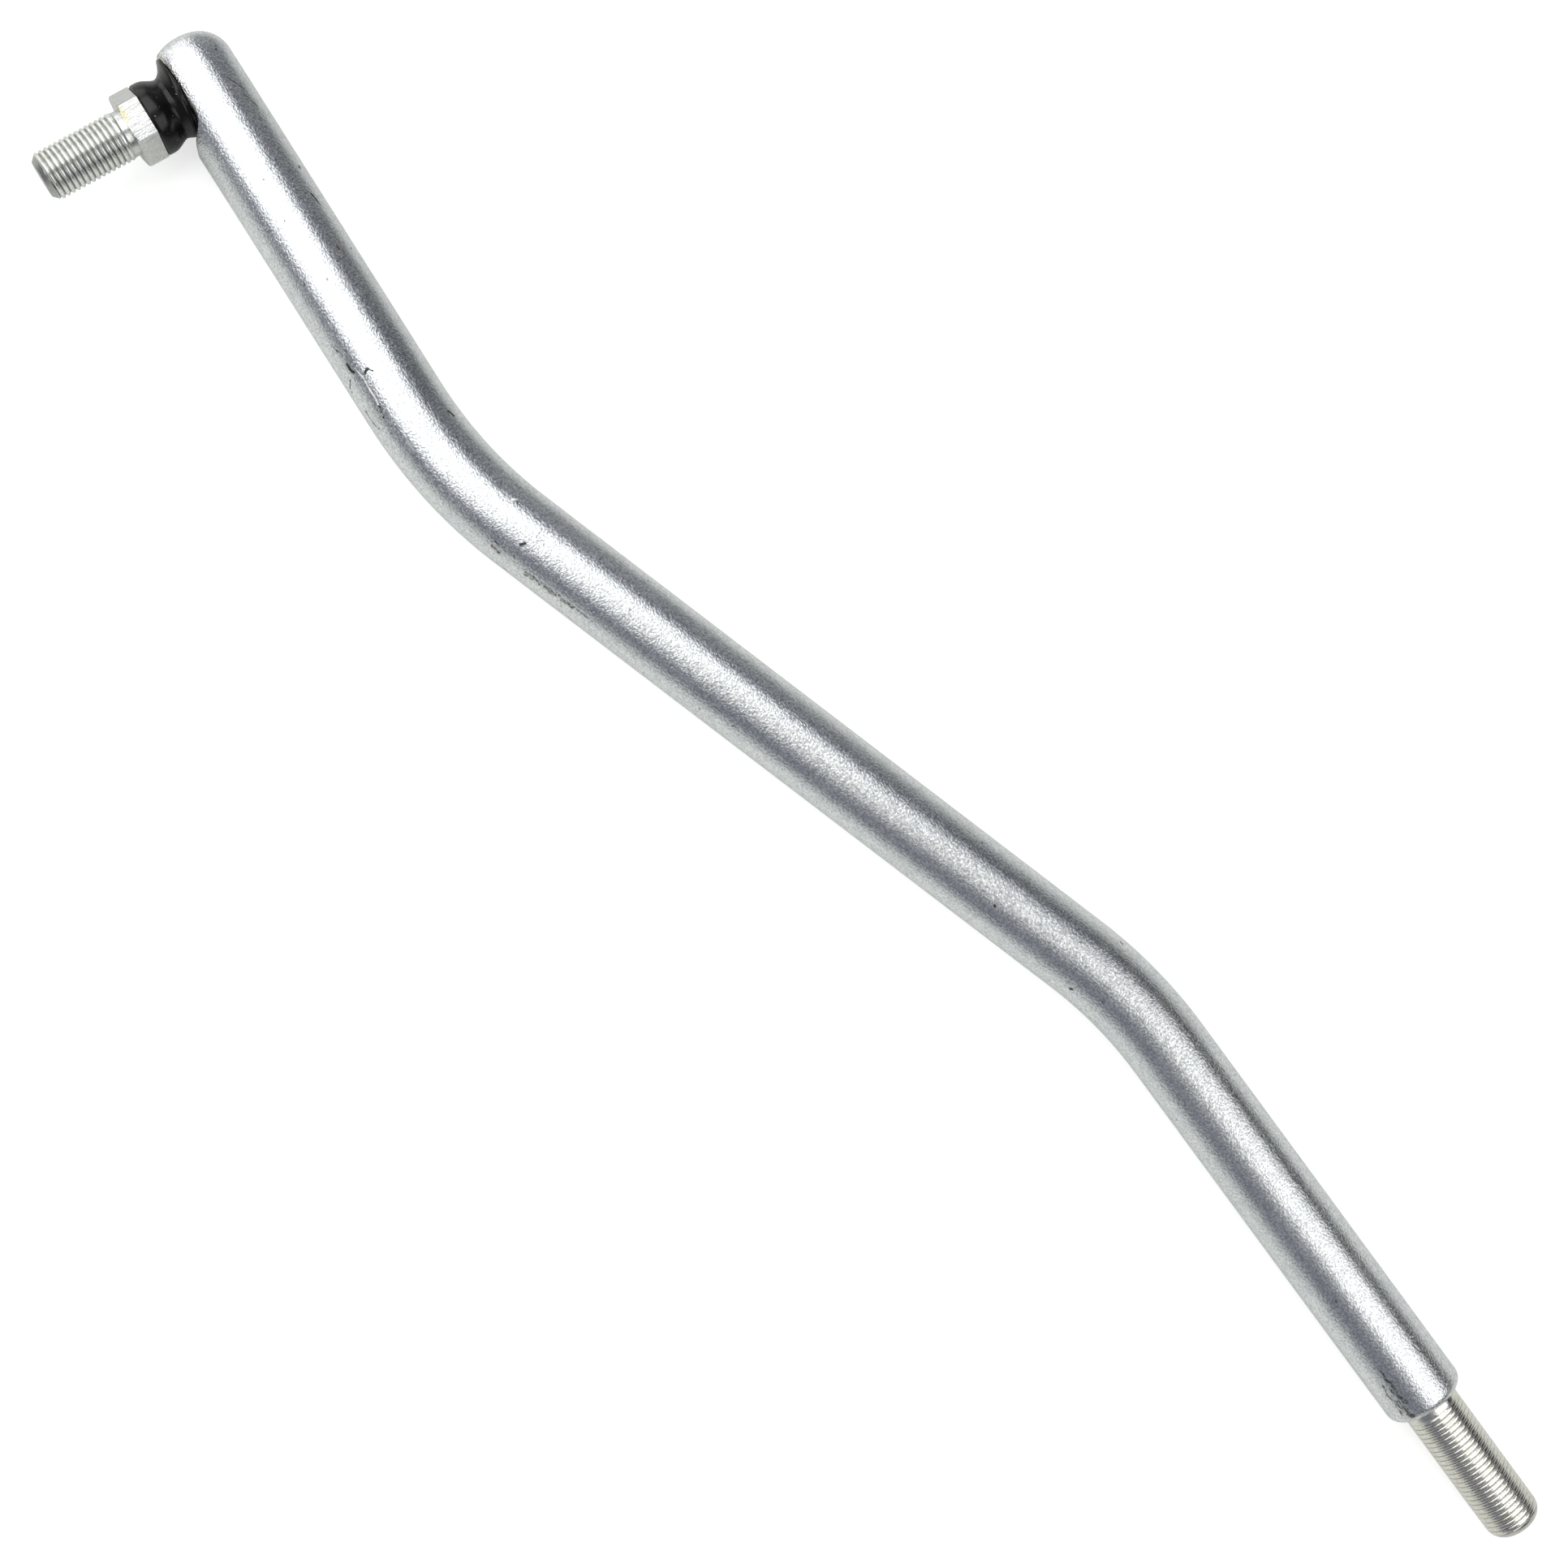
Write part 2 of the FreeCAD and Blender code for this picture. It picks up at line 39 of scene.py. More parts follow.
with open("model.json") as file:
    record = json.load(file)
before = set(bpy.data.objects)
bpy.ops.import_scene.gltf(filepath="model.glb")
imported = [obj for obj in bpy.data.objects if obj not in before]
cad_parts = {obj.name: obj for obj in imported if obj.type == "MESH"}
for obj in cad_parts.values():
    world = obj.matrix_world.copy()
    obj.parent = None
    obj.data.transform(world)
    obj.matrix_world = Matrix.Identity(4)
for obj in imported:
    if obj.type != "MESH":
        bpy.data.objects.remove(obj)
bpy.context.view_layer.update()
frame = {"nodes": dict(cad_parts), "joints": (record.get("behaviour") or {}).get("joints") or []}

MM = 0.001

# Bar: legs between the bends' corners, and each leg's angle to the thread's axis.
BAR_RADIUS = 7.9375
THREAD_LEG, MIDDLE_LEG, BALL_LEG = 97.0, 162.0, 85.7
MIDDLE_ANGLE = math.radians(16.25)
BALL_ANGLE = math.radians(16.25 - 20.45)
BEND_RADIUS = 88.9
SHOULDER_ROUND = 2.2
END_OVERHANG, END_ROUND = 10.0, 5.5
EDGE_BREAK = 0.22

# Milled flat, the cove beside it and the run-out along the bar; socket below the flat.
FLAT_HEIGHT = 4.905
FLAT_REACH, RUN_OUT_LENGTH, COVE_RADIUS = 4.6, 6.2, 4.0
NOT_MILLED = 99.0
SOCKET_RADIUS, SOCKET_TOP = 5.4625, 14.0
SOCKET_FLOOR, SOCKET_CONE_TOP, SOCKET_FLOOR_RADIUS = 5.9625, 3.8625, 3.0625

# Threads, both with 24 to the inch.
PITCH = 25.4 / 24
ROD_THREAD_RADIUS, ROD_THREAD_LENGTH = 5.556, 29.95
ROD_POINT_LENGTH, ROD_POINT_RADIUS = 3.0, 3.2
STUD_THREAD_RADIUS, STUD_POINT_LENGTH, STUD_POINT_RADIUS = 4.7625, 1.3, 3.5

# Ball stud: heights count from the ball's centre. The roll is in degrees.
HEX_BASE, HEX_FACE, STUD_TIP = 12.45, 16.65, 34.95
HEX_FLAT_RADIUS, HEX_ROLL = 6.35, -7.9
HEX_CORNER_ROUND, HEX_EDGE_BREAK = 0.3, 0.12
HEX_FACE_RADIUS, HEX_CHAMFER_SLOPE, HEX_CHAMFER_REACH = 6.842, 1.4, 0.6
SHANK_RADIUS, SHANK_LENGTH = 4.5, 1.2
BALL_RADIUS, BALL_FLAT_RADIUS = 4.7625, 1.19
NECK_RADIUS, NECK_TOP = 2.75, 5.0
LAND_RADIUS, LAND_START = 4.8, 9.5

TURN_STEPS = 96
BOOT_STEPS = 144

joints = {joint["name"]: joint for joint in frame["joints"]}
ball_centre = Vector(joints["race_turn"]["pos_m"])
stud_direction = Vector(joints["race_turn"]["axis"]).normalized()
bar_direction = Vector((math.cos(BALL_ANGLE), math.sin(BALL_ANGLE), 0.0))
cross_direction = bar_direction.cross(stud_direction).normalized()

# Ball joint's frame in metres: x along the bar towards the bend, y out along the stud.
JOINT = Matrix.Translation(ball_centre) @ Matrix(
    (bar_direction, stud_direction, cross_direction)
).transposed().to_4x4()
# Frame whose y runs out along the thread at the bar's end.
ROD_END = Matrix(((0, 1, 0), (-1, 0, 0), (0, 0, 1))).to_4x4()


# ---------------------------------------------------------------- mesh tools

def shade(mesh, crease):
    """Smooth shading, but for edges sharper than crease in degrees."""
    mesh.shade_smooth()
    mesh.set_sharp_from_angle(angle=math.radians(crease))


def make_piece(name, points, faces, material, place=None, crease=30.0):
    """A mesh piece from points in millimetres."""
    mesh = bpy.data.meshes.new(name)
    mesh.from_pydata([tuple(p) for p in np.asarray(points, float) * MM], [], faces)
    work = bmesh.new()
    work.from_mesh(mesh)
    bmesh.ops.remove_doubles(work, verts=work.verts, dist=2e-6)
    bmesh.ops.dissolve_degenerate(work, edges=work.edges, dist=1e-7)
    bmesh.ops.recalc_face_normals(work, faces=work.faces)
    work.to_mesh(mesh)
    work.free()
    if place is not None:
        mesh.transform(place)
    shade(mesh, crease)
    mesh.materials.append(material)
    piece = bpy.data.objects.new(name, mesh)
    bpy.context.scene.collection.objects.link(piece)
    return piece


def close_with_fan(points, faces, hub_point, start, count):
    """Closes the ring of count points that begins at start."""
    hub = len(points)
    points.append(hub_point)
    faces.extend((hub, start + j, start + (j + 1) % count) for j in range(count))


def loft(rings, close_ends=True):
    """Points and faces that join rings of equal length."""
    count = len(rings[0])
    points = [p for ring in rings for p in ring]
    faces = []
    for i in range(len(rings) - 1):
        a, b = i * count, (i + 1) * count
        for j in range(count):
            k = (j + 1) % count
            faces.append((a + j, a + k, b + k, b + j))
    if close_ends:
        last = (len(rings) - 1) * count
        for ring, start in ((rings[0], 0), (rings[-1], last)):
            close_with_fan(points, faces, np.mean(np.asarray(ring), axis=0), start, count)
    return points, faces


def ring_about_y(radius, height, angles, shift=0.0):
    """One ring about y, moved by shift against x. Radius and height may vary round it."""
    return np.stack([
        radius * np.cos(angles) - shift,
        np.broadcast_to(height, angles.shape),
        -radius * np.sin(angles),
    ], axis=1)


def whole_turn(steps):
    return np.linspace(0, 2 * math.pi, steps, endpoint=False)


def turned(profile, steps=TURN_STEPS, closed=False):
    """Turns (radius, height[, shift against x]) points about y. A closed one makes a ring."""
    angles = whole_turn(steps)
    rings = [ring_about_y(point[0], point[1], angles, *point[2:]) for point in profile]
    if closed:
        rings.append(rings[0].copy())
    return loft(rings, close_ends=not closed)


def smooth_step(value):
    t = np.clip(value, 0.0, 1.0)
    return t * t * (3 - 2 * t)


# ---------------------------------------------------------------- threads

# One turn of each thread as (part of the pitch, part of the depth), and its depth. The rod's
# is rolled shallow and filled by plating; the stud's is sharper.
ROD_THREAD_FORM = (
    (-0.32, 0.14), (-0.20, 0.03), (0.0, 0.0), (0.20, 0.03), (0.32, 0.14),
    (0.39, 0.5), (0.45, 0.88), (0.5, 1.0), (0.55, 0.88), (0.61, 0.5),
)
ROD_THREAD_DEPTH = 0.34 * PITCH
STUD_THREAD_FORM = (
    (-0.20, 0.12), (-0.10, 0.02), (0.0, 0.0), (0.10, 0.02), (0.20, 0.12),
    (0.33, 0.5), (0.44, 0.9), (0.5, 1.0), (0.56, 0.9), (0.67, 0.5),
)
STUD_THREAD_DEPTH = 0.46 * PITCH

# Where each cut begins and how far it takes to reach full depth; the lengths start a little
# inside the bar and the hexagon.
ROD_CUT_START, ROD_CUT_FADE, ROD_THREAD_START = 0.5, 2.2, -0.8
STUD_CUT_FADE, STUD_THREAD_SUNK, SHANK_CONE = 1.6, 0.4, 0.5


def threaded(radius, form, full_depth, start, stop, cut_start, fade, envelope):
    """A screwed length from start to stop along y, with rows that follow the helix.

    The cut reaches its full depth a fade's length after cut_start; envelope caps the radius."""
    turns = int(math.ceil((stop - start) / PITCH)) + 2
    angles = whole_turn(TURN_STEPS)
    rows = []
    for turn in range(turns + 1):
        for along, depth in form:
            height = start + (turn - 1 + along) * PITCH + PITCH * angles / (2 * math.pi)
            cut = depth * full_depth * smooth_step((height - cut_start) / fade)
            height = np.clip(height, start, stop)
            reach = np.minimum(radius - cut, envelope(height))
            rows.append(ring_about_y(reach, height, angles))
    flat_start, flat_stop = rows[0].copy(), rows[-1].copy()
    flat_start[:, 1], flat_stop[:, 1] = start, stop
    rows = [flat_start, *rows, flat_stop]
    points = [p for row in rows for p in row]
    faces = []
    last = len(rows) - 1
    for i in range(last):
        for j in range(TURN_STEPS - 1):
            corners = (i, j), (i, j + 1), (i + 1, j + 1), (i + 1, j)
            faces.append(tuple(row * TURN_STEPS + step for row, step in corners))
        # At the seam a row goes on as the row one turn further along.
        goes_on = 0 if i == 0 else min(i + len(form), last)
        next_goes_on = min(i + 1 + len(form), last)
        corners = (i, TURN_STEPS - 1), (goes_on, 0), (next_goes_on, 0), (i + 1, TURN_STEPS - 1)
        faces.append(tuple(row * TURN_STEPS + step for row, step in corners))
    for row, height in ((0, start), (last, stop)):
        close_with_fan(points, faces, np.array((0.0, height, 0.0)), row * TURN_STEPS, TURN_STEPS)
    return points, faces


def rounded_point(height):
    """Radius of the rod thread's rounded point."""
    drop = ROD_THREAD_RADIUS - ROD_POINT_RADIUS
    bulge = (ROD_POINT_LENGTH ** 2 + drop ** 2) / (2 * drop)
    past = np.clip(height - (ROD_THREAD_LENGTH - ROD_POINT_LENGTH), 0, ROD_POINT_LENGTH)
    return ROD_THREAD_RADIUS - bulge + np.sqrt(bulge ** 2 - past ** 2)


def chamfered_point(height):
    """Radius of the stud's chamfered point, and of its plain shank."""
    past = np.clip(height - (STUD_TIP - STUD_POINT_LENGTH), 0, STUD_POINT_LENGTH)
    slope = (STUD_THREAD_RADIUS - STUD_POINT_RADIUS) / STUD_POINT_LENGTH
    begun = smooth_step((height - (HEX_FACE + SHANK_LENGTH)) / SHANK_CONE)
    body = SHANK_RADIUS + (STUD_THREAD_RADIUS - SHANK_RADIUS) * begun
    return np.minimum(STUD_THREAD_RADIUS - past * slope, body)


# ---------------------------------------------------------------- bar

def run_out_height(x):
    """Height of the milled flat and its run-out over the bar's axis, at x in the joint's frame."""
    rise = BAR_RADIUS - FLAT_HEIGHT
    both_radii = (RUN_OUT_LENGTH ** 2 + rise ** 2) / (2 * rise)
    crest_radius = both_radii - COVE_RADIUS
    cove_end = FLAT_REACH + RUN_OUT_LENGTH * COVE_RADIUS / both_radii
    run_out_end = FLAT_REACH + RUN_OUT_LENGTH
    x = np.asarray(x, float)
    cove_drop = np.sqrt(np.maximum(COVE_RADIUS ** 2 - (x - FLAT_REACH) ** 2, 0))
    crest_rise = np.sqrt(np.maximum(crest_radius ** 2 - (run_out_end - x) ** 2, 0))
    return np.where(
        x < FLAT_REACH, FLAT_HEIGHT,
        np.where(
            x < cove_end, FLAT_HEIGHT + COVE_RADIUS - cove_drop,
            np.where(x < run_out_end, BAR_RADIUS - crest_radius + crest_rise, NOT_MILLED),
        ),
    )


STRAIGHT_SPACING, BEND_STEPS = 4.0, 24
SHOULDER_STEPS, END_STEPS = 8, 12


def forward(heading):
    return np.array((math.cos(heading), math.sin(heading)))


def leftward(heading):
    return np.array((-math.sin(heading), math.cos(heading)))


def bar_stations():
    """Stations along the bar as (x, y, heading, radius, x in the joint's frame).

    The last one is None where the bar isn't milled. A heading points back to the thread."""
    stations = []
    for turn in np.radians(np.linspace(90, 0, SHOULDER_STEPS + 1)):
        radius = BAR_RADIUS - SHOULDER_ROUND + SHOULDER_ROUND * math.cos(turn)
        stations.append((SHOULDER_ROUND * (math.sin(turn) - 1), 0.0, 0.0, radius, None))

    def straight(start, end, heading):
        count = max(int(np.linalg.norm(end - start) / STRAIGHT_SPACING), 1)
        for part in np.linspace(0, 1, count + 1)[1:]:
            p = start + (end - start) * part
            stations.append((p[0], p[1], heading, BAR_RADIUS, None))

    def bend(start, heading, turn):
        radius = -math.copysign(BEND_RADIUS, turn)
        centre = start + radius * leftward(heading)
        for part in np.linspace(0, 1, BEND_STEPS + 1)[1:]:
            now = heading + turn * part
            p = centre - radius * leftward(now)
            stations.append((p[0], p[1], now, BAR_RADIUS, None))

    # How far each bend reaches along its legs from its corner.
    first = BEND_RADIUS * math.tan(MIDDLE_ANGLE / 2)
    second = BEND_RADIUS * math.tan((MIDDLE_ANGLE - BALL_ANGLE) / 2)
    middle, last = forward(MIDDLE_ANGLE), forward(BALL_ANGLE)
    corner = np.array((-THREAD_LEG, 0.0))
    far_corner = corner - MIDDLE_LEG * middle
    bend_start = corner + first * np.array((1.0, 0.0))
    far_bend_start = far_corner + second * middle
    straight(np.array((-SHOULDER_ROUND, 0.0)), bend_start, 0.0)
    bend(bend_start, 0.0, MIDDLE_ANGLE)
    straight(corner - first * middle, far_bend_start, MIDDLE_ANGLE)
    bend(far_bend_start, MIDDLE_ANGLE, BALL_ANGLE - MIDDLE_ANGLE)

    # The leg with the ball, with stations close together where the milled height changes.
    ball = far_corner - BALL_LEG * last
    run_out_end = FLAT_REACH + RUN_OUT_LENGTH
    round_start = -(END_OVERHANG - END_ROUND)
    places = list(np.arange(BALL_LEG - second - 3.0, run_out_end + 1.0, -3.0))
    places += list(np.linspace(run_out_end, FLAT_REACH, 40))
    places += list(np.linspace(FLAT_REACH - 0.5, round_start, 16))
    sections = [(x, BAR_RADIUS) for x in places]
    for turn in np.radians(np.linspace(0, 90, END_STEPS + 1))[1:]:
        radius = BAR_RADIUS - END_ROUND + END_ROUND * math.cos(turn)
        sections.append((round_start - END_ROUND * math.sin(turn), radius))
    for x, radius in sections:
        p = ball + x * last
        stations.append((p[0], p[1], BALL_ANGLE, radius, x))
    return stations


ARC_STEPS, FLAT_STEPS = 120, 12
# A cut narrower than this angle has no room for the whole broken edge.
EDGE_BREAK_ANGLE = 0.3


def bar_section(radius, height):
    """Closed section as (up, side): a circle cut off at a height, with a small broken edge."""
    edge = math.acos(height / radius) if height < radius else 0.0
    edge_break = EDGE_BREAK * min(1.0, edge / EDGE_BREAK_ANGLE)
    first = edge + edge_break / radius
    arc = np.linspace(first, 2 * math.pi - first, ARC_STEPS)
    ring = [(radius * math.cos(a), radius * math.sin(a)) for a in arc]
    half = radius * math.sin(edge) - edge_break
    level = radius * math.cos(edge)
    ring += [(level, side) for side in np.linspace(-half, half, FLAT_STEPS)]
    return ring


def make_bar(material):
    up_in_plane = stud_direction.dot(Vector((-math.sin(BALL_ANGLE), math.cos(BALL_ANGLE), 0.0)))
    up_out = stud_direction.z
    vertical = np.array((0.0, 0.0, 1.0))
    rings = []
    for x, y, heading, radius, along in bar_stations():
        height = NOT_MILLED if along is None else float(run_out_height(along))
        normal = np.array((*leftward(heading), 0.0))
        up = up_in_plane * normal + up_out * vertical
        side = -up_out * normal + up_in_plane * vertical
        centre = np.array((x, y, 0.0))
        rings.append([centre + u * up + s * side for u, s in bar_section(radius, height)])
    points, faces = loft(rings)
    bar = make_piece("bar_skin", points, faces, material)

    points, faces = turned([
        (SOCKET_FLOOR_RADIUS, -SOCKET_FLOOR), (SOCKET_RADIUS, -SOCKET_CONE_TOP),
        (SOCKET_RADIUS, SOCKET_TOP),
    ])
    cutter = make_piece("socket_cutter", points, faces, material, JOINT)
    cut = bar.modifiers.new("socket", "BOOLEAN")
    cut.operation = "DIFFERENCE"
    cut.solver = "EXACT"
    cut.object = cutter
    bpy.context.view_layer.update()
    shown = bar.evaluated_get(bpy.context.evaluated_depsgraph_get())
    cut_mesh = bpy.data.meshes.new_from_object(shown)
    bar.modifiers.clear()
    bar.data = cut_mesh
    cut_mesh.name = "bar_skin"
    bpy.data.objects.remove(cutter)
    shade(cut_mesh, 30.0)
    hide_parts("link_rod")
    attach(bar, "link")


def make_rod_thread(material):
    points, faces = threaded(
        ROD_THREAD_RADIUS, ROD_THREAD_FORM, ROD_THREAD_DEPTH,
        ROD_THREAD_START, ROD_THREAD_LENGTH, ROD_CUT_START, ROD_CUT_FADE, rounded_point,
    )
    rod_thread = make_piece("rod_end_thread", points, faces, material, ROD_END, crease=50)
    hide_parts("link_rod")
    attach(rod_thread, "link")


# ---------------------------------------------------------------- stud

SIXTH = math.pi / 3
# Degrees past each corner of the hexagon: close together on its round, wider on the flat.
HEX_STEPS = np.concatenate([np.linspace(-1.6, 1.6, 9), np.linspace(4, 56, 14)])


def hexagon_radius(angle):
    """Radius of the hexagon with slightly rounded corners, at an angle from a corner."""
    hub = (HEX_FLAT_RADIUS - HEX_CORNER_ROUND) / math.cos(SIXTH / 2)
    off = abs((angle + SIXTH / 2) % SIXTH - SIXTH / 2)
    tangent = math.atan2(
        HEX_CORNER_ROUND * 0.5, hub + HEX_CORNER_ROUND * math.cos(SIXTH / 2),
    )
    if off < tangent:
        to_round = HEX_CORNER_ROUND ** 2 - (hub * math.sin(off)) ** 2
        return hub * math.cos(off) + math.sqrt(to_round)
    return HEX_FLAT_RADIUS / math.cos(SIXTH / 2 - off)


def make_hexagon(material):
    around = np.concatenate([corner * 60 + HEX_STEPS for corner in range(6)])
    angles = np.radians(around + HEX_ROLL)
    reach = np.array([hexagon_radius(a - math.radians(HEX_ROLL)) for a in angles])
    heights = [HEX_BASE, HEX_BASE + HEX_EDGE_BREAK]
    heights += list(np.linspace(HEX_FACE - HEX_CHAMFER_REACH, HEX_FACE, 17))
    rings = []
    for height in heights:
        edge_break = HEX_EDGE_BREAK if height == HEX_BASE else 0.0
        cone = HEX_FACE_RADIUS + (HEX_FACE - height) * HEX_CHAMFER_SLOPE
        rings.append(ring_about_y(np.minimum(reach - edge_break, cone), height, angles))
    points, faces = loft(rings)
    return make_piece("stud_hexagon", points, faces, material, JOINT, crease=25)


def make_stud(zinc, thread_zinc, ball_steel):
    low = math.acos(BALL_FLAT_RADIUS / BALL_RADIUS)
    high = math.asin(math.sqrt(BALL_RADIUS ** 2 - NECK_RADIUS ** 2) / BALL_RADIUS)
    profile = [
        (BALL_RADIUS * math.cos(a), BALL_RADIUS * math.sin(a)) for a in np.linspace(-low, high, 40)
    ]
    profile += [
        (NECK_RADIUS, NECK_TOP), (LAND_RADIUS, LAND_START), (LAND_RADIUS, HEX_BASE + 0.6),
    ]
    points, faces = turned(profile)
    ball = make_piece("stud_ball", points, faces, ball_steel, JOINT)
    hexagon = make_hexagon(zinc)
    points, faces = threaded(
        STUD_THREAD_RADIUS, STUD_THREAD_FORM, STUD_THREAD_DEPTH, HEX_FACE - STUD_THREAD_SUNK,
        STUD_TIP, HEX_FACE + SHANK_LENGTH, STUD_CUT_FADE, chamfered_point,
    )
    thread = make_piece("stud_thread", points, faces, thread_zinc, JOINT, crease=50)
    for piece in (ball, hexagon, thread):
        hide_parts("ball_stud")
        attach(piece, "stud")


# ---------------------------------------------------------------- boot

# The boot is shown as a base that stays on the bar and an upper part.
BOOT_SPLIT, BEND_END = 7.0, 9.5
UPPER_START = BOOT_SPLIT - 0.12
# Radius, height and shift away from the bend. The lip is raised onto the milled flat's cove.
BOOT_BASE = (
    (5.42, 4.94, 0.0), (6.4, 4.94, 1.05), (7.08, 4.94, 1.55), (7.22, 5.02, 1.62),
    (7.28, 5.15, 1.64), (7.28, 5.3, 1.62), (7.25, 5.44, 1.49), (7.18, 5.62, 1.14),
    (7.03, 5.85, 0.72), (6.84, 6.1, 0.4), (6.6, 6.38, 0.2), (6.38, 6.66, 0.1),
    (6.18, BOOT_SPLIT, 0.04), (5.72, BOOT_SPLIT, 0.0), (5.3, 6.0, 0.0), (4.62, 5.0, 0.0),
    (4.55, 4.1, 0.0), (5.42, 4.1, 0.0),
)
LIP_INNER_RADIUS, LIP_LOWEST, LIP_HIGHEST, LIP_CLEARANCE = 5.415, 4.5, 7.6, 0.03
# Radius and height: the outside with its waist and bulge, then the bore with the ring's groove.
BOOT_UPPER = (
    (6.16, UPPER_START), (6.05, 7.25), (5.96, 7.5), (5.93, 7.72), (5.97, 7.95), (6.07, 8.25),
    (6.22, 8.6), (6.39, 8.95), (6.56, 9.3), (6.74, 9.7), (6.89, 10.1), (6.99, 10.55),
    (7.04, 11.0), (7.05, 11.5), (7.04, 11.9), (6.98, 12.2), (6.86, 12.35), (6.7, 12.4),
    (4.87, 12.4), (4.87, 11.46), (5.8, 11.44), (5.8, 10.36), (4.87, 10.34),
    (4.87, 9.95), (5.3, 9.3), (5.56, 8.5), (5.6, 7.9), (5.72, UPPER_START),
)


def make_boot(rubber):
    points, faces = turned(BOOT_BASE, steps=BOOT_STEPS, closed=True)
    points = np.asarray(points)
    x, height, z = points.T
    wall = np.minimum(run_out_height(x), LIP_HIGHEST) + LIP_CLEARANCE
    lip = (np.hypot(x, z) > LIP_INNER_RADIUS) & (height > LIP_LOWEST)
    points[:, 1] = np.where(lip, np.maximum(height, wall), height)
    base = make_piece("boot_base", points, faces, rubber, JOINT, crease=60)
    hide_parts("dust_boot")
    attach(base, "link")

    points, faces = turned(BOOT_UPPER, steps=BOOT_STEPS, closed=True)
    upper = make_piece("boot_upper", points, faces, rubber, JOINT, crease=60)
    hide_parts("dust_boot")
    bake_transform(upper)


# ---------------------------------------------------------------- materials

class Nodes:
    """Short words for building a node tree. A value is a socket, a number, or a tuple."""

    def __init__(self, tree, coordinates):
        self.tree = tree
        self.place = self.add("ShaderNodeTexCoord").outputs[coordinates]

    def add(self, kind, **settings):
        node = self.tree.nodes.new(kind)
        for key, value in settings.items():
            setattr(node, key, value)
        return node

    def put(self, socket, value):
        if isinstance(value, bpy.types.NodeSocket):
            self.tree.links.new(value, socket)
            return
        if hasattr(value, "__len__") and len(value) == 3 and len(socket.default_value) == 4:
            value = (*value, 1.0)
        socket.default_value = value

    def noise(self, scale, detail=2.0, roughness=0.5, stretch=None, output="Fac"):
        source = self.place
        if stretch:
            mapping = self.add("ShaderNodeMapping")
            self.put(mapping.inputs["Vector"], source)
            self.put(mapping.inputs["Scale"], stretch)
            source = mapping.outputs["Vector"]
        node = self.add("ShaderNodeTexNoise")
        self.put(node.inputs["Vector"], source)
        self.put(node.inputs["Scale"], scale)
        self.put(node.inputs["Detail"], detail)
        self.put(node.inputs["Roughness"], roughness)
        return node.outputs[output]

    def math(self, operation, a, b=None, clamp=False):
        node = self.add("ShaderNodeMath", operation=operation, use_clamp=clamp)
        self.put(node.inputs[0], a)
        if b is not None:
            self.put(node.inputs[1], b)
        return node.outputs[0]

    def product(self, first, *others):
        for other in others:
            first = self.math("MULTIPLY", first, other)
        return first

    def vector(self, operation, a, b=None, scale=None):
        node = self.add("ShaderNodeVectorMath", operation=operation)
        self.put(node.inputs[0], a)
        if b is not None:
            self.put(node.inputs[1], b)
        if scale is not None:
            self.put(node.inputs["Scale"], scale)
        return node.outputs["Value" if operation in ("LENGTH", "DOT_PRODUCT") else "Vector"]

    def split(self, vector):
        node = self.add("ShaderNodeSeparateXYZ")
        self.put(node.inputs[0], vector)
        return node.outputs

    def ramp(self, value, low, high, to_low=0.0, to_high=1.0):
        node = self.add("ShaderNodeMapRange", clamp=True)
        self.put(node.inputs["Value"], value)
        self.put(node.inputs["From Min"], low)
        self.put(node.inputs["From Max"], high)
        self.put(node.inputs["To Min"], to_low)
        self.put(node.inputs["To Max"], to_high)
        return node.outputs["Result"]

    def band(self, value, start, full, full_end, end):
        """Mask that rises from start to full and falls from full_end to end."""
        return self.product(self.ramp(value, start, full), self.ramp(value, end, full_end))

    def mix(self, factor, a, b):
        node = self.add("ShaderNodeMix", data_type="RGBA", clamp_factor=True)
        self.put(node.inputs["Factor"], factor)
        self.put(node.inputs["A"], a)
        self.put(node.inputs["B"], b)
        return node.outputs["Result"]


